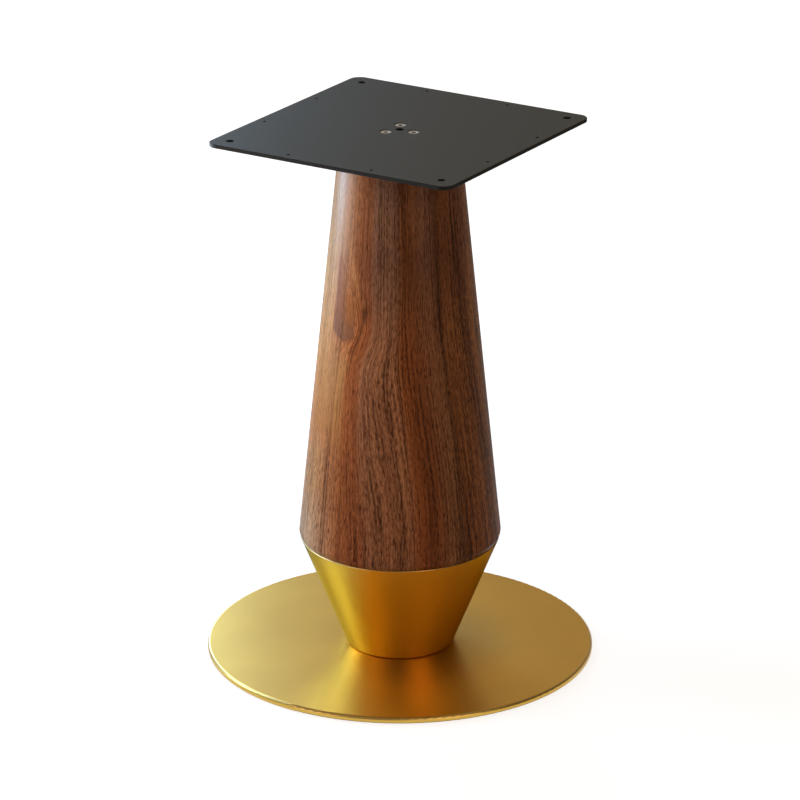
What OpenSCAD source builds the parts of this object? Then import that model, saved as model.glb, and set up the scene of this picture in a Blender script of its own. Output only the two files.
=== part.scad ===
// Pedestal table base. A steel disc stands on rubber pads, a spun cone and a turned wooden column
// stand on the disc, and a square plate for the table's top lies on the column. A steel post up the
// middle ties the disc to the plate, so that its screws clamp the cone and the column between them.
// Millimetres. The origin is on the floor, on the column's axis. +Z is up.

/* [Overall] */
// Height of the top plate's upper face above the floor
base_h = 700; // [450:10:1100]

/* [Floor disc] */
// Diameter of the floor disc
disc_d = 500; // [420:10:700]
// Thickness of the floor disc
disc_t = 8; // [6:0.5:16]
// Rounding of the disc's upper edge
disc_top_r = 3; // [1:0.5:3.5]
// Rounding of the disc's lower edge
disc_low_r = 2; // [1:0.5:2.5]

/* [Rubber pads] */
// Number of pads under the disc
pad_count = 8; // [4:1:12]
// Diameter of a pad
pad_d = 30; // [16:1:50]
// Thickness of a pad
pad_t = 2; // [1:0.5:5]
// Distance from the disc's rim to a pad's nearest edge
pad_inset = 12; // [6:1:30]
// Rounding of a pad's lower edge
pad_edge_r = 0.5; // [0.2:0.1:0.9]

/* [Cone] */
// Outer diameter of the cone at its foot, before the bend
cone_foot_d = 138; // [110:1:180]
// Height of the cone
cone_h = 147; // [80:1:220]
// Thickness of the cone's sheet
cone_t = 2; // [1.5:0.1:3]
// Outer radius of the bend between the cone's floor and its wall
cone_bend_r = 3.5; // [3.2:0.1:8]
// How far the cone's rim stands out past the wood
rim_ledge = 1.2; // [0.5:0.1:3]
// Rounding of the rim's outer edge
rim_edge_r = 0.8; // [0.4:0.1:1]
// Thickness of the plate in the cone's mouth
cone_plate_t = 5; // [3:0.5:10]

/* [Wooden column] */
// Greatest diameter of the column
wood_belly_d = 260; // [200:5:340]
// Diameter of the column at the top plate
wood_top_d = 150; // [110:5:200]
// Height of the greatest diameter above the column's foot
belly_rise = 6.5; // [4:0.5:20]
// How far the column draws in from its greatest diameter to its foot
belly_step = 3; // [1:0.5:5]
// Rounding where the column turns in
belly_r = 8; // [3:0.5:12]
// Rounding of the column's lower edge
wood_low_r = 1; // [0.4:0.1:2]
// Rounding of the column's upper edge
wood_top_r = 1.5; // [0.5:0.1:4]

/* [Post] */
// Outer diameter of the post
post_d = 60; // [54:1:90]
// Wall of the post
post_wall = 3; // [2:0.5:5]
// Thickness of the plugs in the post's ends
plug_t = 15; // [13:1:30]

/* [Top plate] */
// Width of the square top plate
plate_w = 350; // [260:10:500]
// Thickness of the top plate
plate_t = 5; // [4.8:0.2:10]
// Radius of the plate's corners
plate_corner_r = 15; // [5:1:20]
// Chamfer of the plate's edges
plate_chamfer = 0.5; // [0.2:0.1:1]
// Diameter of the four corner holes
corner_hole_d = 10; // [6:0.5:12]
// Distance from the plate's edge to the middle of a corner hole
corner_hole_inset = 22.5; // [16:0.5:40]
// Diameter of the eight small screw holes
small_hole_d = 4.5; // [3:0.5:7]
// Distance from the plate's edge to the middle of a small hole
small_hole_inset = 12.5; // [8:0.5:20]
// Spacing of the two small holes along each edge
small_hole_pair = 120; // [60:5:160]
// Diameter of the hole in the middle of the plate and the plugs
centre_hole_d = 11; // [6:0.5:12]

/* [Screws] */
// Number of screws at each end of the post
screw_count = 3; // [3:1:4]
// Diameter of the circle that the screws lie on
screw_circle_d = 40; // [32:0.5:44]
// Diameter of a screw
screw_d = 6; // [5:0.5:8]
// Diameter of a screw's head
head_d = 13.2; // [11:0.2:14]
// Height of the straight rim round a head
head_rim = 0.2; // [0.1:0.1:0.4]
// How far a head lies below the face
head_drop = 0.6; // [0.2:0.1:0.8]
// Width across the flats of the hex socket
socket_flats = 4; // [3:0.5:5]
// Depth of the hex socket
socket_depth = 2.6; // [2:0.1:3.4]
// Length of a screw in the top plate, with its head
plate_screw_l = 16; // [14:1:18]
// Length of a screw in the disc, with its head
base_screw_l = 20; // [16:1:22]
// Chamfer at a screw's tip
tip_chamfer = 0.8; // [0.4:0.1:1.2]

/* [Clearances] */
// Room between the post and what it passes through below the wood
post_gap = 0.5; // [0.2:0.1:2]
// Room between the post and the wood's bore
bore_gap = 1; // [0.5:0.1:3]
// Room between a plug and the post's wall, which the weld fills
plug_gap = 0.1; // [0.05:0.05:0.3]
// Room between the mouth's plate and the cone's wall, which the weld fills
mouth_gap = 0.1; // [0.05:0.05:0.3]
// How far the post stops below the top plate, so that the screws draw the plate down
draw_gap = 0.5; // [0.2:0.1:0.9]
// Room between a screw's shank and a plain hole
shank_gap = 0.5; // [0.2:0.1:0.8]
// Room between a screw's plain shank and a tapped hole, which the thread fills
thread_gap = 0.05; // [0.02:0.01:0.1]
// Room between a head and its countersink
seat_gap = 0.05; // [0.02:0.01:0.1]

/* [Hidden] */
$fn = 96;
// How far a cut runs past the face that it opens
overrun = 1;

disc_z = pad_t;
disc_top_z = disc_z + disc_t;
rim_z = disc_top_z + cone_h;
plate_z = base_h - plate_t;

disc_r = disc_d / 2;
post_r = post_d / 2;
post_inner_r = post_r - post_wall;
plug_r = post_inner_r - plug_gap;
post_top_z = plate_z - draw_gap;
bore_r = post_r + bore_gap;
through_r = post_r + post_gap;

belly_z = rim_z + belly_rise;
belly_d_half = wood_belly_d / 2;
wood_low_d_half = belly_d_half - belly_step;
wood_top_d_half = wood_top_d / 2;

cone_foot_r = cone_foot_d / 2;
cone_rim_r = wood_low_d_half + rim_ledge;
// Lean of the cone's wall, and the width of the sheet measured level
cone_lean = atan((cone_rim_r - cone_foot_r) / cone_h);
cone_level_t = cone_t / cos(cone_lean);

screw_r = screw_d / 2;
head_r = head_d / 2;
tap_r = screw_r + thread_gap;
shank_hole_r = screw_r + shank_gap;
sink_r = head_r + head_drop + head_rim + seat_gap;

pad_ring_r = disc_r - pad_inset - pad_d / 2;
corner_hole_at = plate_w / 2 - corner_hole_inset;
small_hole_at = plate_w / 2 - small_hole_inset;

// Rounded outlines

function unit(v) = v / norm(v);
function half_corner(a, b) = acos(a * b) / 2;
// The two points where a corner at p, between a and b, meets an arc of radius r
function tangent_points(a, p, b, r) =
    let (u = unit(a - p), v = unit(b - p), run = r / tan(half_corner(u, v)))
    [p + u * run, p + v * run];
// The middle of that arc
function arc_middle(a, p, b, r) =
    let (u = unit(a - p), v = unit(b - p))
    p + unit(u + v) * r / sin(half_corner(u, v));

// Outline through the points, with each corner rounded to its radius. All its round corners turn out.
module rounded_outline(points, radii) {
    n = len(points);
    corners = [for (i = [0:n - 1]) [points[(i + n - 1) % n], points[i], points[(i + 1) % n], radii[i]]];
    polygon([for (c = corners) each c[3] > 0 ? tangent_points(c[0], c[1], c[2], c[3]) : [c[1]]]);
    for (c = corners)
        if (c[3] > 0) round_corner(c[0], c[1], c[2], c[3]);
}

// What lies inside the arc, between its middle and its two tangent points
module round_corner(a, p, b, r) {
    ends = tangent_points(a, p, b, r);
    middle = arc_middle(a, p, b, r);
    intersection() {
        translate(middle) circle(r);
        polygon([middle, ends[0], p, ends[1]]);
    }
}

// Screws and their holes

// Places its children round the screw circle
module round_the_circle(i) {
    rotate([0, 0, i * 360 / screw_count]) translate([screw_circle_d / 2, 0, 0]) children();
}

// Countersunk socket screw, its head's face at z = 0 and its shank down
module screw(length) {
    cone_end = head_rim + head_r - screw_r;
    difference() {
        rotate_extrude()
            polygon([[0, 0], [head_r, 0], [head_r, -head_rim], [screw_r, -cone_end],
                     [screw_r, tip_chamfer - length], [screw_r - tip_chamfer, -length], [0, -length]]);
        translate([0, 0, -socket_depth])
            cylinder(h = socket_depth + overrun, d = socket_flats / cos(30), $fn = 6);
    }
}

// Countersunk hole down from a face at z = 0 through a plate of thickness t
module countersunk_hole(t) {
    translate([0, 0, -t - overrun]) cylinder(h = t + 2 * overrun, r = shank_hole_r);
    rotate_extrude()
        polygon([[0, overrun], [sink_r + overrun, overrun], [0, -sink_r]]);
}

// Sub-parts

// Floor disc with rounded edges, countersunk from below
module base_disc() {
    color("goldenrod")
        difference() {
            translate([0, 0, disc_z])
                rotate_extrude()
                    rounded_outline([[0, 0], [disc_r, 0], [disc_r, disc_t], [0, disc_t]],
                                    [0, disc_low_r, disc_top_r, 0]);
            for (i = [0:screw_count - 1])
                round_the_circle(i)
                    translate([0, 0, disc_z]) mirror([0, 0, 1]) countersunk_hole(disc_t);
        }
}

// Pad with its lower edge rounded
module floor_pad(i) {
    color("dimgray")
        rotate([0, 0, (i - 0.5) * 360 / pad_count])
            translate([pad_ring_r, 0, 0])
                rotate_extrude()
                    rounded_outline([[0, 0], [pad_d / 2, 0], [pad_d / 2, pad_t], [0, pad_t]],
                                    [0, pad_edge_r, 0, 0]);
}

// Half section of the solid that the cone's outer face bounds
module cone_outside() {
    rounded_outline([[0, disc_top_z], [cone_foot_r, disc_top_z], [cone_rim_r, rim_z], [0, rim_z]],
                    [0, cone_bend_r, rim_edge_r, 0]);
}

// Half section of the hollow, one sheet inside it and open upwards
module cone_inside() {
    floor_z = disc_top_z + cone_t;
    wall_foot_r = cone_foot_r - cone_level_t + cone_t * tan(cone_lean);
    wall_rim_r = cone_rim_r - cone_level_t + overrun * tan(cone_lean);
    rounded_outline([[0, floor_z], [wall_foot_r, floor_z], [wall_rim_r, rim_z + overrun],
                     [0, rim_z + overrun]],
                    [0, cone_bend_r - cone_t, 0, 0]);
}

// Spun cone with a flat floor, which the post passes through
module cone_shell() {
    color("gold")
        difference() {
            rotate_extrude()
                difference() {
                    cone_outside();
                    cone_inside();
                }
            translate([0, 0, disc_top_z - overrun])
                cylinder(h = cone_t + 2 * overrun, r = through_r);
        }
}

// Plate wedged in the cone's mouth, level with its rim
module cone_plate() {
    top_r = cone_rim_r - cone_level_t - mouth_gap;
    color("silver")
        difference() {
            translate([0, 0, rim_z - cone_plate_t])
                cylinder(h = cone_plate_t, r1 = top_r - cone_plate_t * tan(cone_lean), r2 = top_r);
            translate([0, 0, rim_z - cone_plate_t - overrun])
                cylinder(h = cone_plate_t + 2 * overrun, r = through_r);
        }
}

// Turned column with a bore for the post
module wood_column() {
    color("saddlebrown")
        difference() {
            rotate_extrude()
                rounded_outline([[0, rim_z], [wood_low_d_half, rim_z], [belly_d_half, belly_z],
                                 [wood_top_d_half, plate_z], [0, plate_z]],
                                [0, wood_low_r, belly_r, wood_top_r, 0]);
            translate([0, 0, rim_z - overrun])
                cylinder(h = plate_z - rim_z + 2 * overrun, r = bore_r);
        }
}

// Tube from the disc to just below the top plate
module post_tube() {
    color("slategray")
        translate([0, 0, disc_top_z])
            difference() {
                cylinder(h = post_top_z - disc_top_z, r = post_r);
                translate([0, 0, -overrun])
                    cylinder(h = post_top_z - disc_top_z + 2 * overrun, r = post_inner_r);
            }
}

// Round plug with tapped holes, its lower face at z = 0
module plug() {
    difference() {
        cylinder(h = plug_t, r = plug_r);
        translate([0, 0, -overrun]) cylinder(h = plug_t + 2 * overrun, d = centre_hole_d);
        for (i = [0:screw_count - 1])
            round_the_circle(i)
                translate([0, 0, -overrun]) cylinder(h = plug_t + 2 * overrun, r = tap_r);
    }
}

// Plug at the post's foot
module post_plug_low() {
    color("lightslategray") translate([0, 0, disc_top_z]) plug();
}

// Plug at the post's top
module post_plug_top() {
    color("lightslategray") translate([0, 0, post_top_z - plug_t]) plug();
}

// Half section of a disc of radius r and thickness t with both its edges chamfered
module chamfered_half(r, t) {
    c = plate_chamfer;
    polygon([[0, 0], [r - c, 0], [r, c], [r, t - c], [r - c, t], [0, t]]);
}

// Bar with chamfered sides, w wide along X and l long along Y
module chamfered_bar(w, l, t) {
    rotate([90, 0, 0])
        translate([0, 0, -l / 2])
            linear_extrude(l) {
                chamfered_half(w / 2, t);
                mirror([1, 0]) chamfered_half(w / 2, t);
            }
}

// Square plate with round corners and chamfered edges, drilled for the table's top and the post
module top_plate() {
    inner = plate_w - 2 * plate_corner_r;
    color("#2b2b2b")
        translate([0, 0, plate_z])
            difference() {
                union() {
                    chamfered_bar(plate_w, inner, plate_t);
                    rotate([0, 0, 90]) chamfered_bar(plate_w, inner, plate_t);
                    for (x = [-1, 1], y = [-1, 1])
                        translate([x * inner / 2, y * inner / 2, 0])
                            rotate_extrude() chamfered_half(plate_corner_r, plate_t);
                }
                for (x = [-1, 1], y = [-1, 1]) {
                    plate_hole(x * corner_hole_at, y * corner_hole_at, corner_hole_d);
                    plate_hole(x * small_hole_pair / 2, y * small_hole_at, small_hole_d);
                    plate_hole(x * small_hole_at, y * small_hole_pair / 2, small_hole_d);
                }
                plate_hole(0, 0, centre_hole_d);
                for (i = [0:screw_count - 1])
                    round_the_circle(i) translate([0, 0, plate_t]) countersunk_hole(plate_t);
            }
}

// Plain hole through the plate
module plate_hole(x, y, d) {
    translate([x, y, -overrun]) cylinder(h = plate_t + 2 * overrun, d = d);
}

// Screw down through the top plate into the upper plug
module plate_screw(i) {
    color("lightsteelblue")
        round_the_circle(i - 1) translate([0, 0, base_h - head_drop]) screw(plate_screw_l);
}

// Screw up through the disc into the lower plug
module base_screw(i) {
    color("lightsteelblue")
        round_the_circle(i - 1)
            translate([0, 0, disc_z + head_drop]) mirror([0, 0, 1]) screw(base_screw_l);
}

base_disc();
cone_shell();
cone_plate();
wood_column();
post_tube();
post_plug_low();
post_plug_top();
top_plate();
for (i = [1:screw_count]) {
    plate_screw(i);
    base_screw(i);
}
for (i = [1:pad_count])
    floor_pad(i);
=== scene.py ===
import math

import bpy
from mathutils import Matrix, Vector


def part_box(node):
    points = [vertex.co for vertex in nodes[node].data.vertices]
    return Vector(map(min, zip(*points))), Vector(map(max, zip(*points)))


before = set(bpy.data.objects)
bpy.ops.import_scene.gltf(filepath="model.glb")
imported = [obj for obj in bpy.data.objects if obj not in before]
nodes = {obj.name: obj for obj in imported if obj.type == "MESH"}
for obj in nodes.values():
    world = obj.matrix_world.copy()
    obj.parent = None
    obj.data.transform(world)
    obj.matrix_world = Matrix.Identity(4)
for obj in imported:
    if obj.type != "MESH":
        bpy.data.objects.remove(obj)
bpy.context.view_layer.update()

# ---------------------------------------------------------------- sizes from the frame

wood_low, wood_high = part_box("wood_column")
disc_low, disc_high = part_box("base_disc")
cone_low, cone_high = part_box("cone_shell")
plate_low, plate_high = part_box("top_plate")
WOOD_MEAN_RADIUS = 0.1
RING_LINES = 150
DISC_RADIUS = disc_high.x

# ---------------------------------------------------------------- the camera

CAMERA_AZIMUTH = math.radians(31.724)
CAMERA_ELEVATION = math.radians(20.491)
CAMERA_DISTANCE = 5.3707
CAMERA_AIM = Vector((0, 0, 0.3403))
CAMERA_LENS = 189.56
SENSOR = 36

TO_FRONT = Vector((math.sin(CAMERA_AZIMUTH), -math.cos(CAMERA_AZIMUTH), 0))
TO_RIGHT = Vector((math.cos(CAMERA_AZIMUTH), math.sin(CAMERA_AZIMUTH), 0))
TO_TOP = Vector((0, 0, 1))
FRONT_ANGLE = math.atan2(TO_FRONT.y, TO_FRONT.x)


def look_at(obj, target):
    """Turns a camera or a lamp towards a point."""
    obj.rotation_euler = (target - obj.location).to_track_quat("-Z", "Y").to_euler()


camera = bpy.data.objects.new("camera", bpy.data.cameras.new("camera"))
bpy.context.collection.objects.link(camera)
camera.data.lens = CAMERA_LENS
camera.data.sensor_width = SENSOR
camera.data.clip_end = 100
away = TO_FRONT * math.cos(CAMERA_ELEVATION) + TO_TOP * math.sin(CAMERA_ELEVATION)
camera.location = CAMERA_AIM + away * CAMERA_DISTANCE
look_at(camera, CAMERA_AIM)
bpy.context.scene.camera = camera
bpy.context.scene.view_settings.view_transform = "Standard"

# ---------------------------------------------------------------- node helpers


class Graph:
    """The shader nodes of one material or of the world."""

    def __init__(self, owner, output="ShaderNodeOutputMaterial"):
        owner.use_nodes = True
        self.tree = owner.node_tree
        self.tree.nodes.clear()
        self.output = self.node(output)

    def node(self, kind, **settings):
        made = self.tree.nodes.new(kind)
        for key, value in settings.items():
            setattr(made, key, value)
        return made

    def feed(self, socket, value):
        if isinstance(value, bpy.types.NodeSocket):
            self.tree.links.new(value, socket)
        else:
            socket.default_value = value

    def math(self, operation, *values):
        made = self.node("ShaderNodeMath", operation=operation)
        for socket, value in zip(made.inputs, values):
            self.feed(socket, value)
        return made.outputs[0]

    def add(self, a, b):
        return self.math("ADD", a, b)

    def subtract(self, a, b):
        return self.math("SUBTRACT", a, b)

    def times(self, a, b):
        return self.math("MULTIPLY", a, b)

    def total(self, *values):
        result = values[0]
        for value in values[1:]:
            result = self.add(result, value)
        return result

    def spread(self, value, low, high, to_low=0.0, to_high=1.0):
        """Takes a value smoothly from to_low at low to to_high at high."""
        made = self.node("ShaderNodeMapRange", interpolation_type="SMOOTHSTEP")
        for name, number in (("Value", value), ("From Min", low), ("From Max", high),
                             ("To Min", to_low), ("To Max", to_high)):
            self.feed(made.inputs[name], number)
        return made.outputs["Result"]

    def spread_even(self, value, low, high, to_low=0.0, to_high=1.0, clamp=True):
        """Takes a value evenly from to_low at low to to_high at high."""
        made = self.node("ShaderNodeMapRange", clamp=clamp)
        for name, number in (("Value", value), ("From Min", low), ("From Max", high),
                             ("To Min", to_low), ("To Max", to_high)):
            self.feed(made.inputs[name], number)
        return made.outputs["Result"]

    def ridge(self, value, width):
        """One where the value crosses a half, and nothing more than width away from that."""
        off = self.math("ABSOLUTE", self.subtract(value, 0.5))
        return self.spread(off, 0.0, width, 1.0, 0.0)

    def window(self, value, middle, half, soft):
        """One inside middle ± half, nothing outside, with an edge that is soft wide."""
        off = self.math("ABSOLUTE", self.subtract(value, middle))
        return self.spread(off, half - soft / 2, half + soft / 2, 1.0, 0.0)

    def hill(self, x, y):
        """A round hill of height one over the point where x and y are nothing."""
        square = self.add(self.times(x, x), self.times(y, y))
        return self.math("EXPONENT", self.times(square, -1.0))

    def noise(self, vector, scale, detail=2.0, roughness=0.5, distortion=0.0):
        made = self.node("ShaderNodeTexNoise")
        self.feed(made.inputs["Vector"], vector)
        for name, number in (("Scale", scale), ("Detail", detail), ("Roughness", roughness),
                             ("Distortion", distortion)):
            made.inputs[name].default_value = number
        return made.outputs["Fac"]

    def joined(self, x, y, z):
        made = self.node("ShaderNodeCombineXYZ")
        for socket, value in zip(made.inputs, (x, y, z)):
            self.feed(socket, value)
        return made.outputs[0]

    def scaled(self, vector, size, offset=(0, 0, 0)):
        made = self.node("ShaderNodeMapping")
        self.feed(made.inputs["Vector"], vector)
        made.inputs["Scale"].default_value = size
        made.inputs["Location"].default_value = offset
        return made.outputs[0]

    def ramp(self, value, stops, interpolation="LINEAR"):
        made = self.node("ShaderNodeValToRGB")
        made.color_ramp.interpolation = interpolation
        elements = made.color_ramp.elements
        while len(elements) < len(stops):
            elements.new(1.0)
        for element, (place, colour) in zip(elements, stops):
            element.position = place
            element.color = (*colour, 1)
        self.feed(made.inputs["Fac"], value)
        return made.outputs["Color"]

    def mix(self, factor, a, b, mode="MIX"):
        made = self.node("ShaderNodeMix", data_type="RGBA", blend_type=mode)
        self.feed(made.inputs["Factor"], factor)
        for name, value in (("A", a), ("B", b)):
            socket = [s for s in made.inputs if s.name == name and s.type == "RGBA"][0]
            self.feed(socket, value if isinstance(value, bpy.types.NodeSocket) else (*value, 1))
        return [s for s in made.outputs if s.type == "RGBA"][0]

    def place(self):
        """Where the point lies on the object, in metres."""
        return self.node("ShaderNodeTexCoord").outputs["Object"]

    def split(self, vector):
        made = self.node("ShaderNodeSeparateXYZ")
        self.feed(made.inputs[0], vector)
        return made.outputs

    def bump(self, height, distance, strength=1.0, normal=None):
        made = self.node("ShaderNodeBump")
        made.inputs["Strength"].default_value = strength
        made.inputs["Distance"].default_value = distance
        self.feed(made.inputs["Height"], height)
        if normal is not None:
            self.feed(made.inputs["Normal"], normal)
        return made.outputs[0]

    def surface(self, **sockets):
        """The one shader of a material, with its sockets by name, _ for a blank."""
        made = self.node("ShaderNodeBsdfPrincipled")
        for name, value in sockets.items():
            self.feed(made.inputs[name.replace("_", " ")], value)
        self.tree.links.new(made.outputs[0], self.output.inputs["Surface"])


def finish(name):
    material = bpy.data.materials.new(name)
    return material, Graph(material)


# ---------------------------------------------------------------- walnut

# Where things lie on the column: how far round from the front in degrees, right is plus,
# and how high in metres.


# Colour of the wood by where the grain lies, in degrees round the column
STRIPS = (
    (-180, (0.290, 0.118, 0.048)),
    (-120, (0.320, 0.139, 0.059)),
    (-100, (0.460, 0.240, 0.125)),
    (-62, (0.470, 0.265, 0.130)),
    (-50, (0.440, 0.195, 0.090)),
    (-41, (0.395, 0.160, 0.072)),
    (-36, (0.345, 0.124, 0.050)),
    (-25, (0.330, 0.120, 0.056)),
    (-21, (0.345, 0.170, 0.112)),
    (-5, (0.350, 0.174, 0.115)),
    (0, (0.285, 0.104, 0.043)),
    (6, (0.225, 0.080, 0.033)),
    (13, (0.225, 0.088, 0.044)),
    (18, (0.240, 0.106, 0.064)),
    (26, (0.235, 0.102, 0.060)),
    (29, (0.145, 0.059, 0.030)),
    (33, (0.182, 0.066, 0.029)),
    (60, (0.212, 0.079, 0.036)),
    (78, (0.310, 0.118, 0.036)),
    (120, (0.245, 0.098, 0.042)),
    (180, (0.290, 0.118, 0.048)),
)


def walnut():
    material, g = finish("walnut_satin")
    turned = g.node("ShaderNodeVectorRotate", rotation_type="Z_AXIS")
    g.feed(turned.inputs["Vector"], g.place())
    turned.inputs["Angle"].default_value = -FRONT_ANGLE
    ahead, aside, up = g.split(turned.outputs[0])
    degrees = g.times(g.math("ARCTAN2", aside, ahead), 180 / math.pi)
    across = g.math("POWER", g.add(g.times(ahead, ahead), g.times(aside, aside)), 0.5)
    over = g.math("DIVIDE", WOOD_MEAN_RADIUS, g.math("MAXIMUM", across, 0.01))
    plain = g.joined(g.times(ahead, over), g.times(aside, over), up)

    # The grain lines spread to both sides towards the foot, and swing left below the knot.
    drift = g.times(g.subtract(g.noise(g.scaled(plain, (14, 14, 3.0)), 1, 1, 0.5), 0.5), 7)
    wobble = g.times(g.subtract(g.noise(g.scaled(plain, (60, 60, 14)), 1, 2, 0.5), 0.5), 2.0)
    fan = g.times(g.spread(up, 0.17, 0.50, 12, 0), g.spread(degrees, -45, 15, -0.15, 1.0))
    swing = g.times(g.times(g.spread(up, 0.405, 0.475, 9, 0), g.spread(up, 0.16, 0.40)),
                    g.window(degrees, -24, 14, 36))
    knot_side = g.hill(g.times(g.subtract(degrees, -32), 1 / 9),
                       g.times(g.subtract(up, 0.468), 1 / 0.030))
    pushed = g.total(degrees, drift, wobble, g.times(fan, -1), swing, g.times(knot_side, -5))
    turn = g.times(pushed, math.pi / 180)
    grain = g.joined(g.times(g.math("COSINE", turn), WOOD_MEAN_RADIUS),
                     g.times(g.math("SINE", turn), WOOD_MEAN_RADIUS), up)
    colour = g.ramp(g.spread_even(pushed, -180, 180),
                    [((at + 180) / 360, shade) for at, shade in STRIPS])

    # pale sapwood high on the left and below the knot, with a ragged edge
    ragged = g.subtract(g.noise(g.scaled(grain, (150, 150, 9)), 1, 2, 0.6), 0.5)
    loose = g.add(degrees, g.times(ragged, 18))
    rise = g.add(up, g.times(ragged, 0.08))
    high_sap = g.times(g.spread(loose, -64, -56, 1, 0),
                       g.times(g.spread(rise, 0.27, 0.33), g.spread(loose, -120, -104)))
    low_sap = g.times(g.window(loose, -60, 18, 8), g.window(rise, 0.365, 0.062, 0.06))
    sap = g.math("MAXIMUM", high_sap, g.times(low_sap, 0.9))
    sap_shade = g.ramp(g.spread_even(up, 0.30, 0.60), (
        (0.0, (0.515, 0.192, 0.046)),
        (0.35, (0.540, 0.255, 0.086)),
        (0.75, (0.560, 0.335, 0.180)),
        (1.0, (0.470, 0.290, 0.175)),
    ))
    colour = g.mix(sap, colour, sap_shade)
    # a lighter tongue beside the knot
    tongue = g.hill(g.times(g.total(degrees, 38, g.times(g.subtract(up, 0.532), 200)), 1 / 2.8),
                    g.times(g.subtract(up, 0.538), 1 / 0.026))
    colour = g.mix(g.times(tongue, 0.75), colour, (0.560, 0.260, 0.105))
    # paler and darker stretches along the front
    stretch = g.ramp(g.spread_even(up, 0.15, 0.65), (
        (0.0, (0.94, 0.86, 0.80)),
        (0.20, (0.95, 0.90, 0.84)),
        (0.40, (1.03, 1.01, 1.00)),
        (0.62, (1.16, 1.18, 1.22)),
        (0.81, (0.85, 0.81, 0.77)),
        (0.92, (1.09, 1.07, 1.05)),
    ))
    in_front = g.times(g.spread(degrees, -46, -38), g.spread(degrees, 70, 45))
    colour = g.mix(g.times(in_front, g.subtract(1.0, sap)), colour, g.mix(1.0, colour, stretch, "MULTIPLY"))
    # redder in its lower half, apart from the sapwood
    low_red = g.times(g.spread(up, 0.57, 0.43), g.subtract(1.0, sap))
    low_tint = g.mix(g.spread(degrees, 20, 35), (1.16, 0.98, 0.74), (1.16, 1.15, 0.92))
    colour = g.mix(low_red, colour, g.mix(1.0, colour, low_tint, "MULTIPLY"))
    # painted sheen: the wood is made paler towards the left foot
    sheen_left_foot = g.times(g.spread(degrees, -78, -36, 1, 0), g.spread(up, 0.26, 0.17))
    sheen_left_foot = g.times(sheen_left_foot, g.spread(degrees, -125, -100))
    colour = g.mix(g.times(sheen_left_foot, 0.68), colour, (0.650, 0.415, 0.265))

    # the dark knot: a wedge that hangs down from a point
    frayed = g.add(degrees, g.times(ragged, 4))
    left_side = g.spread(up, 0.566, 0.540, -54.5, -57)
    right_side = g.add(g.spread(up, 0.566, 0.525, -54.5, -47.5), g.spread(up, 0.520, 0.490, 0, 12))
    inside = g.times(g.spread(g.subtract(left_side, frayed), -1.0, 1.0, 1, 0),
                     g.spread(g.subtract(frayed, right_side), -1.2, 1.2, 1, 0))
    under = g.add(up, g.times(g.math("ABSOLUTE", g.subtract(degrees, -45)), -0.0009))
    knot = g.times(g.times(inside, g.spread(up, 0.572, 0.552)), g.spread(under, 0.442, 0.446))
    knot_shade = g.mix(g.spread(degrees, -55, -40), (0.350, 0.134, 0.058), (0.430, 0.152, 0.047))
    knot_shade = g.mix(g.spread(up, 0.495, 0.452), knot_shade, (0.285, 0.116, 0.058))
    colour = g.mix(g.times(knot, 0.95), colour, knot_shade)
    # a dark line that curves round it, with a dark spot in the curve
    scar_at = g.add(g.spread(up, 0.526, 0.500, -33.5, -26.3),
                    g.spread_even(up, 0.487, 0.400, 0, -13.5))
    scar = g.times(g.hill(g.times(g.subtract(frayed, scar_at), 1 / 1.5), 0.0),
                   g.times(g.spread(up, 0.395, 0.450), g.spread(up, 0.532, 0.515)))
    heart = g.hill(g.times(g.subtract(degrees, -27.2), 1 / 2.2),
                   g.times(g.subtract(up, 0.487), 1 / 0.009))
    colour = g.mix(g.times(scar, 0.55), colour, (0.150, 0.058, 0.026))
    colour = g.mix(g.times(heart, 0.75), colour, (0.090, 0.032, 0.014))

    # growth lines some 4 mm apart, broad and fine streaks, fibres and open pores
    bands = g.noise(g.scaled(grain, (75, 75, 1.2)), 1, 1, 0.5)
    lines = g.ridge(g.noise(g.scaled(grain, (250, 250, 2.2), (3, 1, 2)), 1, 1, 0.5), 0.06)
    strength = g.spread(g.noise(g.scaled(grain, (60, 60, 5), (9, 4, 1)), 1, 2, 0.5), 0.32, 0.55)
    streaks = g.noise(g.scaled(grain, (600, 600, 5.5)), 1, 1, 0.6)
    fibres = g.noise(g.scaled(grain, (900, 900, 130)), 1, 1, 0.65)
    pores = g.spread(g.noise(g.scaled(grain, (800, 800, 100), (7, 2, 5)), 1, 0, 0.5), 0.60, 0.68)
    figure = g.total(
        1.18,
        g.times(g.subtract(bands, 0.5), 0.60),
        g.times(g.subtract(streaks, 0.5), 1.8),
        g.times(g.subtract(fibres, 0.5), 1.9),
        g.times(g.times(lines, strength), -0.68),
        g.times(pores, -0.46),
    )
    gleaming = g.times(g.spread(degrees, -46, -56), g.spread(up, 0.30, 0.40))
    gleaming = g.math("MAXIMUM", gleaming, g.times(g.spread(degrees, -38, -52), g.spread(up, 0.50, 0.58)))
    still = g.math("MAXIMUM", g.math("MAXIMUM", sap, knot), gleaming)
    calm = g.total(1.0, g.times(still, -0.50), g.spread(degrees, 25, 50, 0, 0.7))
    figure = g.add(1.0, g.times(g.subtract(figure, 1.0), calm))
    figure = g.math("MAXIMUM", figure, 0.25)
    # where the figure is dark it is also a little redder
    colour = g.mix(1.0, colour, g.joined(g.math("POWER", figure, 0.9), figure,
                                         g.math("POWER", figure, 1.1)), "MULTIPLY")
    height = g.subtract(g.times(fibres, 0.3), pores)
    g.surface(Base_Color=colour, Roughness=g.spread(streaks, 0.2, 0.8, 0.29, 0.25),
              Specular_IOR_Level=0.16, Normal=g.bump(height, 0.00004))
    return material


# ---------------------------------------------------------------- metals, coat and rubber


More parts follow.
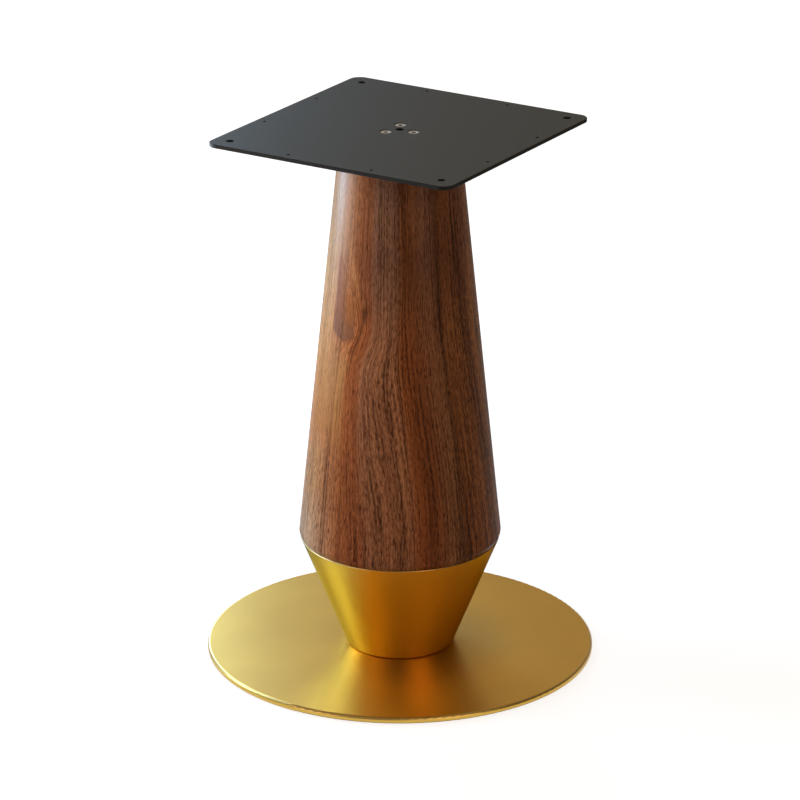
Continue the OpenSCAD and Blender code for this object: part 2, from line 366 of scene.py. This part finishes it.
def gold(name, colour, roughness, coat, flat_top, highlight_share, grazing):
    """Satin gold. Its upward edges are painted paler as a highlight; flat_top leaves a level face alone and adds
    painted shade under the rim and round the cone's foot, else the left side gets painted light.
    """
    material, g = finish(name)
    place = g.place()
    cloud = g.noise(place, 9, 2, 0.5)
    grit = g.noise(place, 2600, 2, 0.6)
    shade = g.mix(g.spread(cloud, 0.3, 0.7), tuple(c * 0.97 for c in colour),
                  tuple(min(c * 1.03, 1) for c in colour))
    x, y, z = g.split(place)
    aside = g.add(g.times(x, TO_RIGHT.x), g.times(y, TO_RIGHT.y))
    nx, ny, nz = g.split(g.node("ShaderNodeNewGeometry").outputs["Normal"])
    # painted highlight: the upward-facing edges are made paler, as if they caught the light
    edge = g.spread(nz, 0.30, 0.60)
    if flat_top:
        edge = g.times(edge, g.spread(nz, 0.998, 0.96))
        # painted shade: the downward-facing lower rim of the disc is darkened
        shade = g.mix(g.times(g.spread(nz, -0.10, -0.60), 0.75), shade, SHADE_UNDER_RIM)
        # painted shade: the disc is darkened close round the cone's foot, on its right-hand side
        across = g.math("POWER", g.add(g.times(x, x), g.times(y, y)), 0.5)
        shade_by_foot = g.times(g.spread(across, 0.066, 0.180, 0.85, 0.0), g.spread(aside, -0.06, 0.0))
        shade = g.mix(shade_by_foot, shade, g.mix(1.0, shade, (0.66, 0.74, 1.30), "MULTIPLY"))
    else:
        # painted light: the cone's left side is made paler and greener, as if more lit
        shade = g.mix(g.spread(aside, -0.03, -0.075), shade, LIT_SIDE_GOLD)
    shade = g.mix(g.times(edge, highlight_share), shade, HIGHLIGHT_GOLD)
    rough = g.add(g.spread(cloud, 0.25, 0.75, roughness - 0.015, roughness + 0.015),
                  g.times(g.subtract(grit, 0.5), 0.06))
    g.surface(Base_Color=shade, Metallic=1.0, Roughness=rough, Coat_Weight=coat,
              Coat_Roughness=0.3, Specular_Tint=(*grazing, 1), Normal=g.bump(grit, 0.000015))
    return material


def black_coat():
    """The flat upward face is painted a lighter black, as if lit; edges, holes and a crescent by each screw head
    keep the full black as painted shade.
    """
    material, g = finish("black_powder_coat")
    place = g.place()
    x, y, z = g.split(place)
    peel = g.noise(place, 900, 2, 0.5)
    speck = g.noise(place, 3200, 2, 0.6)
    grain = g.add(g.times(peel, 0.5), g.times(speck, 0.5))
    lit_top_black = g.ramp(grain, (
        (0.35, (0.0480, 0.0665, 0.0805)),
        (0.65, (0.0625, 0.0830, 0.0970)),
    ))
    shaded_black = g.ramp(grain, (
        (0.35, (0.0070, 0.0075, 0.0075)),
        (0.65, (0.0110, 0.0115, 0.0115)),
    ))
    nx, ny, nz = g.split(g.node("ShaderNodeNewGeometry").outputs["Normal"])
    # painted light on the upward face, painted shade on edges and in holes
    flat = g.spread(nz, 0.80, 0.99)
    # painted shadow: a dark crescent by each sunk screw head, its middle moved to the left and back
    for screw in PLATE_SCREWS:
        low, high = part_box(screw)
        middle = (low + high) / 2
        from_screw = g.node("ShaderNodeVectorMath", operation="DISTANCE")
        g.feed(from_screw.inputs[0], g.joined(x, y, 0.0))
        from_screw.inputs[1].default_value = (middle.x + SHADOW_CRESCENT_OFF.x, middle.y + SHADOW_CRESCENT_OFF.y, 0)
        head = (high.x - low.x) / 2
        flat = g.times(flat, g.spread(from_screw.outputs["Value"], head + 0.0003, head + 0.0010))
    shade = g.mix(flat, shaded_black, lit_top_black)
    g.surface(Base_Color=shade, Roughness=g.spread(speck, 0.3, 0.7, 0.44, 0.52),
              Specular_IOR_Level=0.44,
              Normal=g.bump(g.add(peel, g.times(speck, 0.3)), 0.00005))
    return material


def screw_steel(name, screws, face, inward):
    """Bright zinc, painted dark as shade in the socket and round its mouth. The head's face lies at the height face.
    """
    material, g = finish(name)
    place = g.place()
    grit = g.noise(place, 3000, 2, 0.6)
    cloud = g.noise(place, 240, 2, 0.5)
    shade = g.ramp(cloud, ((0.3, (0.93, 0.97, 1.0)), (0.7, (0.98, 1.0, 1.0))))
    x, y, up = g.split(place)
    depth = g.times(g.subtract(up, face), inward)
    # painted shade deep in the socket, below the head's face
    shade = g.mix(g.spread(depth, 0.00005, 0.0003), shade, (0.030, 0.027, 0.024))
    for screw in screws:
        low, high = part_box(screw)
        from_axis = g.node("ShaderNodeVectorMath", operation="DISTANCE")
        g.feed(from_axis.inputs[0], g.joined(x, y, 0.0))
        from_axis.inputs[1].default_value = ((low.x + high.x) / 2, (low.y + high.y) / 2, 0)
        # painted shade round the socket's mouth
        shade = g.mix(g.spread(from_axis.outputs["Value"], 0.0028, 0.0034, 1, 0), shade, (0.060, 0.052, 0.046))
    g.surface(Base_Color=shade, Metallic=0.1, Specular_IOR_Level=1.0, Roughness=g.spread(grit, 0.3, 0.7, 0.30, 0.42),
              Normal=g.bump(grit, 0.00001))
    return material


def plain_steel():
    material, g = finish("mill_finish_steel")
    place = g.place()
    cloud = g.noise(place, 45, 3, 0.6)
    scratch = g.noise(g.scaled(place, (900, 900, 40)), 1, 2, 0.6)
    shade = g.ramp(cloud, ((0.3, (0.30, 0.30, 0.31)), (0.7, (0.42, 0.42, 0.42))))
    g.surface(Base_Color=shade, Metallic=1.0,
              Roughness=g.spread(scratch, 0.3, 0.7, 0.34, 0.50),
              Normal=g.bump(scratch, 0.00002))
    return material


def pad_rubber():
    material, g = finish("pad_rubber_black")
    place = g.place()
    grain = g.noise(place, 1400, 3, 0.6)
    shade = g.ramp(grain, ((0.3, (0.012, 0.012, 0.012)), (0.7, (0.028, 0.027, 0.026))))
    g.surface(Base_Color=shade, Roughness=g.spread(grain, 0.3, 0.7, 0.70, 0.88),
              Specular_IOR_Level=0.35, Normal=g.bump(grain, 0.00008))
    return material


GOLD_DISC = (0.90, 0.585, 0.100)
GOLD_CONE = (0.96, 0.490, 0.045)
# colour of the painted light on the cone's left side
LIT_SIDE_GOLD = (0.97, 0.740, 0.230)
# colour of the painted shade under the disc's rim
SHADE_UNDER_RIM = (0.30, 0.150, 0.030)
# colour of the painted highlight on upward edges
HIGHLIGHT_GOLD = (0.95, 0.78, 0.52)
# how far the painted shadow crescent is moved from each screw's middle
SHADOW_CRESCENT_OFF = TO_RIGHT * -0.0012 + TO_FRONT * -0.0026
PLATE_SCREWS = [name for name in nodes if name.startswith("plate_screw")]
BASE_SCREWS = [name for name in nodes if name.startswith("base_screw")]
FINISHES = {
    "gold_disc": gold("satin_gold_disc", GOLD_DISC, 0.32, 0.3, True, 0.30, (1, 1, 1)),
    "gold_cone": gold("satin_gold_cone", GOLD_CONE, 0.37, 0.05, False, 0.7, (0.22, 0.20, 0.12)),
    "plain_steel": plain_steel(),
    "walnut": walnut(),
    "black_coat": black_coat(),
    "plate_screw": screw_steel("zinc_screw_up", PLATE_SCREWS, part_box(PLATE_SCREWS[0])[1].z, -1),
    "base_screw": screw_steel("zinc_screw_down", BASE_SCREWS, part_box(BASE_SCREWS[0])[0].z, 1),
    "pad_rubber": pad_rubber(),
}
for part_name, part in nodes.items():
    for slot in part.material_slots:
        wanted = slot.material.name.split(".")[0]
        if wanted == "screw_steel":
            wanted = "plate_screw" if part_name in PLATE_SCREWS else "base_screw"
        slot.material = FINISHES[wanted]

# ---------------------------------------------------------------- the floor and the light

FLOOR_RADIUS = 40.0
SHADOW_FROM = 0.45
SHADOW_TO = 1.2
NEAR_WHITE = 0.82
MIRRORED_WHITE = 0.05
MIRRORED_WHITE_NEAR = 0.50
floor_mesh = bpy.data.meshes.new("floor")
corners = [(FLOOR_RADIUS * math.cos(i * math.tau / 64), FLOOR_RADIUS * math.sin(i * math.tau / 64), 0)
           for i in range(64)]
floor_mesh.from_pydata(corners, [], [tuple(range(64))])
floor = bpy.data.objects.new("floor", floor_mesh)
bpy.context.collection.objects.link(floor)


def floor_white():
    """White to the camera, with the object's shadow on it near the object."""
    material, g = finish("pale_floor")
    paper = g.node("ShaderNodeBsdfDiffuse")
    place = g.place()
    fleck = g.noise(place, 60, 2, 0.5)
    shade = g.ramp(fleck, ((0.3, (0.49, 0.49, 0.49)), (0.7, (0.51, 0.51, 0.51))))
    g.feed(paper.inputs["Color"], shade)
    x, y, z = g.split(place)
    away = g.math("POWER", g.add(g.times(x, x), g.times(y, y)), 0.5)
    path = g.node("ShaderNodeLightPath")
    mirrored = g.math("MAXIMUM", path.outputs["Is Glossy Ray"], path.outputs["Is Transmission Ray"])
    white = g.times(path.outputs["Is Camera Ray"],
                    g.spread(away, SHADOW_FROM, SHADOW_TO, NEAR_WHITE, 1.0))
    glow = g.node("ShaderNodeEmission")
    # for reflections alone the floor glows, most in a ring just outside the disc, giving the disc's rim a bright
    # reflection no lamp gives
    near = g.spread(away, 1.06 * DISC_RADIUS, 1.45 * DISC_RADIUS, MIRRORED_WHITE_NEAR, MIRRORED_WHITE)
    g.feed(glow.inputs["Strength"], g.add(white, g.times(mirrored, near)))
    both = g.node("ShaderNodeAddShader")
    g.feed(both.inputs[0], paper.outputs[0])
    g.feed(both.inputs[1], glow.outputs[0])
    g.tree.links.new(both.outputs[0], g.output.inputs["Surface"])
    return material


floor_mesh.materials.append(floor_white())


def softbox(name, right, front, top, width, height, power, colour, aim=(0, 0, 0.35),
            spread=math.pi):
    """A soft rectangular lamp. Its place is given from the camera's side."""
    lamp = bpy.data.lights.new(name, "AREA")
    lamp.shape = "RECTANGLE"
    lamp.size = width
    lamp.size_y = height
    lamp.energy = power
    lamp.color = colour
    lamp.spread = spread
    obj = bpy.data.objects.new(name, lamp)
    bpy.context.collection.objects.link(obj)
    obj.location = TO_RIGHT * right + TO_FRONT * front + TO_TOP * top
    look_at(obj, Vector(aim))
    obj.visible_camera = False
    return obj


def around(degrees, distance, height):
    """A place round the object: degrees from the camera's side, right is plus."""
    angle = math.radians(degrees)
    return distance * math.sin(angle), distance * math.cos(angle), height


SKY = (0.60, 0.90, 1.20)
DEEP_SKY = (0.60, 0.94, 1.50)
LAMP = (1.0, 0.75, 0.48)
PLAIN = (1.0, 1.0, 1.0)
# lamps behind the object, with grids that keep them off the column
DISC_AIM = (0, 0, -0.3)
DISC_GRID = math.radians(40)
softbox("back_low", *around(-158, 1.9, 0.45), 0.7, 0.7, 0.52, DEEP_SKY, DISC_AIM, DISC_GRID)
softbox("back_high", *around(-158, 1.9, 1.25), 0.7, 0.9, 5.0, SKY)
softbox("back_disc", *around(-158, 1.9, 1.25), 0.7, 0.9, 0.30, DEEP_SKY, DISC_AIM, DISC_GRID)
softbox("left_low", *around(-105, 1.8, 0.45), 0.9, 0.7, 4.5, DEEP_SKY)
softbox("left_cone", *around(-108, 1.8, 0.10), 0.9, 0.16, 0.055, DEEP_SKY, (0, 0, 0.03), math.radians(16))
softbox("left_high", *around(-105, 1.8, 1.25), 0.9, 0.9, 10.6, SKY)
softbox("front_left", *around(-45, 3.2, 1.5), 2.6, 2.2, 2.4, PLAIN)
softbox("front_left_low", *around(-55, 2.4, 0.9), 1.4, 1.2, 2.8, PLAIN)
softbox("front_high", *around(-50, 2.2, 2.0), 1.4, 1.2, 5.8, (1.0, 0.785, 0.545))
softbox("front_right", *around(40, 3.0, 1.6), 2.2, 1.8, 17.0, LAMP)
# two near lamps behind grids light the column's upper left alone
NEAR_AIM = (0, 0, 0.57)
GRID = math.radians(60)
softbox("near_left", *around(-95, 0.95, 0.62), 0.40, 0.45, 0.58, LAMP, NEAR_AIM, GRID)
softbox("near_back", *around(-117, 0.95, 0.62), 0.40, 0.45, 0.77, SKY, NEAR_AIM, GRID)

world = bpy.data.worlds.new("studio")
bpy.context.scene.world = world
w = Graph(world, "ShaderNodeOutputWorld")
toward = w.node("ShaderNodeTexCoord").outputs["Generated"]
WALLS = (
    (-TO_FRONT, (0.385, 0.290, 0.189)),
    (TO_TOP, (0.290, 0.218, 0.140)),
)
studio = (0, 0, 0)
for direction, colour in WALLS:
    dot = w.node("ShaderNodeVectorMath", operation="DOT_PRODUCT")
    w.feed(dot.inputs[0], toward)
    dot.inputs[1].default_value = direction
    facing = w.math("MAXIMUM", dot.outputs["Value"], 0.0)
    lobe = w.times(facing, facing)
    wall = w.node("ShaderNodeVectorMath", operation="SCALE")
    wall.inputs[0].default_value = colour
    w.feed(wall.inputs["Scale"], lobe)
    more = w.node("ShaderNodeVectorMath", operation="ADD")
    w.feed(more.inputs[0], studio)
    w.feed(more.inputs[1], wall.outputs[0])
    studio = more.outputs[0]
path = w.node("ShaderNodeLightPath")
seen_sky = w.mix(path.outputs["Is Camera Ray"], studio, (1, 1, 1))
back = w.node("ShaderNodeBackground")
w.feed(back.inputs["Color"], seen_sky)
w.tree.links.new(back.outputs[0], w.output.inputs["Surface"])
